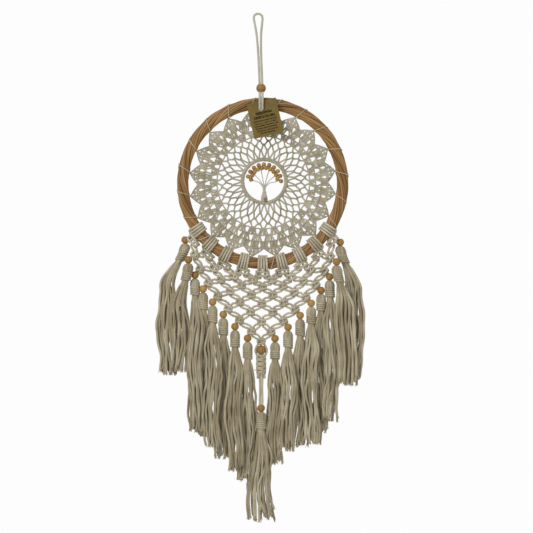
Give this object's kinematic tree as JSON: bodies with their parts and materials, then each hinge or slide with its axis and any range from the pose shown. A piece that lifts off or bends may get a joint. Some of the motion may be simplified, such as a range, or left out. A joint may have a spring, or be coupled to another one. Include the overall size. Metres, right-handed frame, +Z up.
{
  "type": "dream catcher",
  "caption": "Hanging macrame dream catcher: rattan hoop with crochet web and bead tree, knotted net, side tassels and centre drop.",
  "frame": {"origin": "where the inside of the hanging loop bears on its nail, on the cord's middle line", "axes": "+Z up, -Y the front that faces the viewer, +X to the viewer's right"},
  "size_m": [0.2717, 0.0263, 0.6546],
  "materials": {
    "rattan": "satin",
    "cotton_cord": "matte",
    "crochet_cotton": "matte",
    "cotton_thread": "matte",
    "turned_wood": "satin",
    "steel_wire": "satin",
    "kraft_card": "matte"
  },
  "bodies": {
    "hanging_loop": {"hanging_loop": "cotton_cord"},
    "hanging_bead": {"hanging_bead": "turned_wood"},
    "hoop": {"hanging_hitch": "cotton_cord", "rattan_hoop": "rattan", "lashing_thread": "cotton_thread", "ring_wire": "steel_wire", "ring_wrap": "crochet_cotton", "crochet_web": "crochet_cotton", "tree_trunk": "crochet_cotton", "tree_branches": "steel_wire", "tree_beads": "turned_wood", "mounting_knots": "cotton_cord", "knot_net": "cotton_cord"},
    "tag": {"paper_tag": "kraft_card"},
    "centre_drop": {"centre_bead": "turned_wood", "centre_sinnet": "cotton_cord", "drop_cord": "cotton_cord"},
    "drop_tassel": {"drop_bead": "turned_wood", "drop_tassel": "cotton_cord"},
    "tassel_left_1": {"bead_left_1": "turned_wood", "tassel_left_1": "cotton_cord"},
    "tassel_left_2": {"bead_left_2": "turned_wood", "tassel_left_2": "cotton_cord"},
    "tassel_left_3": {"bead_left_3": "turned_wood", "tassel_left_3": "cotton_cord"},
    "tassel_left_4": {"bead_left_4": "turned_wood", "tassel_left_4": "cotton_cord"},
    "tassel_left_5": {"bead_left_5": "turned_wood", "tassel_left_5": "cotton_cord"},
    "tassel_left_6": {"bead_left_6": "turned_wood", "tassel_left_6": "cotton_cord"},
    "tassel_left_7": {"bead_left_7": "turned_wood", "tassel_left_7": "cotton_cord"},
    "tassel_left_8": {"bead_left_8": "turned_wood", "tassel_left_8": "cotton_cord"},
    "tassel_right_1": {"bead_right_1": "turned_wood", "tassel_right_1": "cotton_cord"},
    "tassel_right_2": {"bead_right_2": "turned_wood", "tassel_right_2": "cotton_cord"},
    "tassel_right_3": {"bead_right_3": "turned_wood", "tassel_right_3": "cotton_cord"},
    "tassel_right_4": {"bead_right_4": "turned_wood", "tassel_right_4": "cotton_cord"},
    "tassel_right_5": {"bead_right_5": "turned_wood", "tassel_right_5": "cotton_cord"},
    "tassel_right_6": {"bead_right_6": "turned_wood", "tassel_right_6": "cotton_cord"},
    "tassel_right_7": {"bead_right_7": "turned_wood", "tassel_right_7": "cotton_cord"},
    "tassel_right_8": {"bead_right_8": "turned_wood", "tassel_right_8": "cotton_cord"}
  },
  "joints": [
    {"name": "bead_slide", "type": "slide", "parent": "hanging_loop", "child": "hanging_bead", "axis": [-0.0425, 0, 0.9991], "range_m": [0, 0.022]},
    {"name": "hoop_turn", "type": "hinge", "parent": "hanging_loop", "child": "hoop", "pos_m": [0.004, 0, -0.1006], "axis": [0, 0, 1], "range_deg": [-90, 90]},
    {"name": "tag_swing", "type": "hinge", "parent": "hoop", "child": "tag", "pos_m": [0.004, -0.01125, -0.122], "axis": [0, 1, 0], "range_deg": [-12, 25]},
    {"name": "centre_swing", "type": "hinge", "parent": "hoop", "child": "centre_drop", "pos_m": [0.004, 0, -0.4298], "axis": [-1, 0, 0], "range_deg": [0, 45]},
    {"name": "drop_tassel_swing", "type": "hinge", "parent": "centre_drop", "child": "drop_tassel", "pos_m": [0.004, 0, -0.5044], "axis": [-1, 0, 0], "range_deg": [-45, 45]},
    {"name": "swing_left_1", "type": "hinge", "parent": "hoop", "child": "tassel_left_1", "pos_m": [-0.0937, 0.0054, -0.2884], "axis": [1, 0, 0], "range_deg": [0, 50]},
    {"name": "swing_left_2", "type": "hinge", "parent": "hoop", "child": "tassel_left_2", "pos_m": [-0.08906, -0.0054, -0.31394], "axis": [-1, 0, 0], "range_deg": [0, 50]},
    {"name": "swing_left_3", "type": "hinge", "parent": "hoop", "child": "tassel_left_3", "pos_m": [-0.08084, 0, -0.33353], "axis": [-1, 0, 0], "range_deg": [0, 50]},
    {"name": "swing_left_4", "type": "hinge", "parent": "hoop", "child": "tassel_left_4", "pos_m": [-0.0704, 0, -0.35138], "axis": [-1, 0, 0], "range_deg": [0, 50]},
    {"name": "swing_left_5", "type": "hinge", "parent": "hoop", "child": "tassel_left_5", "pos_m": [-0.05821, 0, -0.36817], "axis": [-1, 0, 0], "range_deg": [0, 50]},
    {"name": "swing_left_6", "type": "hinge", "parent": "hoop", "child": "tassel_left_6", "pos_m": [-0.04452, 0, -0.38422], "axis": [-1, 0, 0], "range_deg": [0, 50]},
    {"name": "swing_left_7", "type": "hinge", "parent": "hoop", "child": "tassel_left_7", "pos_m": [-0.0295, 0, -0.39971], "axis": [-1, 0, 0], "range_deg": [0, 50]},
    {"name": "swing_left_8", "type": "hinge", "parent": "hoop", "child": "tassel_left_8", "pos_m": [-0.0133, 0, -0.41474], "axis": [-1, 0, 0], "range_deg": [0, 50]},
    {"name": "swing_right_1", "type": "hinge", "parent": "hoop", "child": "tassel_right_1", "pos_m": [0.1057, 0.0054, -0.2914], "axis": [1, 0, 0], "range_deg": [0, 50]},
    {"name": "swing_right_2", "type": "hinge", "parent": "hoop", "child": "tassel_right_2", "pos_m": [0.10056, -0.0054, -0.31657], "axis": [-1, 0, 0], "range_deg": [0, 50]},
    {"name": "swing_right_3", "type": "hinge", "parent": "hoop", "child": "tassel_right_3", "pos_m": [0.09184, 0, -0.33578], "axis": [-1, 0, 0], "range_deg": [0, 50]},
    {"name": "swing_right_4", "type": "hinge", "parent": "hoop", "child": "tassel_right_4", "pos_m": [0.0809, 0, -0.35325], "axis": [-1, 0, 0], "range_deg": [0, 50]},
    {"name": "swing_right_5", "type": "hinge", "parent": "hoop", "child": "tassel_right_5", "pos_m": [0.06821, 0, -0.36967], "axis": [-1, 0, 0], "range_deg": [0, 50]},
    {"name": "swing_right_6", "type": "hinge", "parent": "hoop", "child": "tassel_right_6", "pos_m": [0.05402, 0, -0.38535], "axis": [-1, 0, 0], "range_deg": [0, 50]},
    {"name": "swing_right_7", "type": "hinge", "parent": "hoop", "child": "tassel_right_7", "pos_m": [0.0385, 0, -0.40046], "axis": [-1, 0, 0], "range_deg": [0, 50]},
    {"name": "swing_right_8", "type": "hinge", "parent": "hoop", "child": "tassel_right_8", "pos_m": [0.0218, 0, -0.41512], "axis": [-1, 0, 0], "range_deg": [0, 50]}
  ]
}
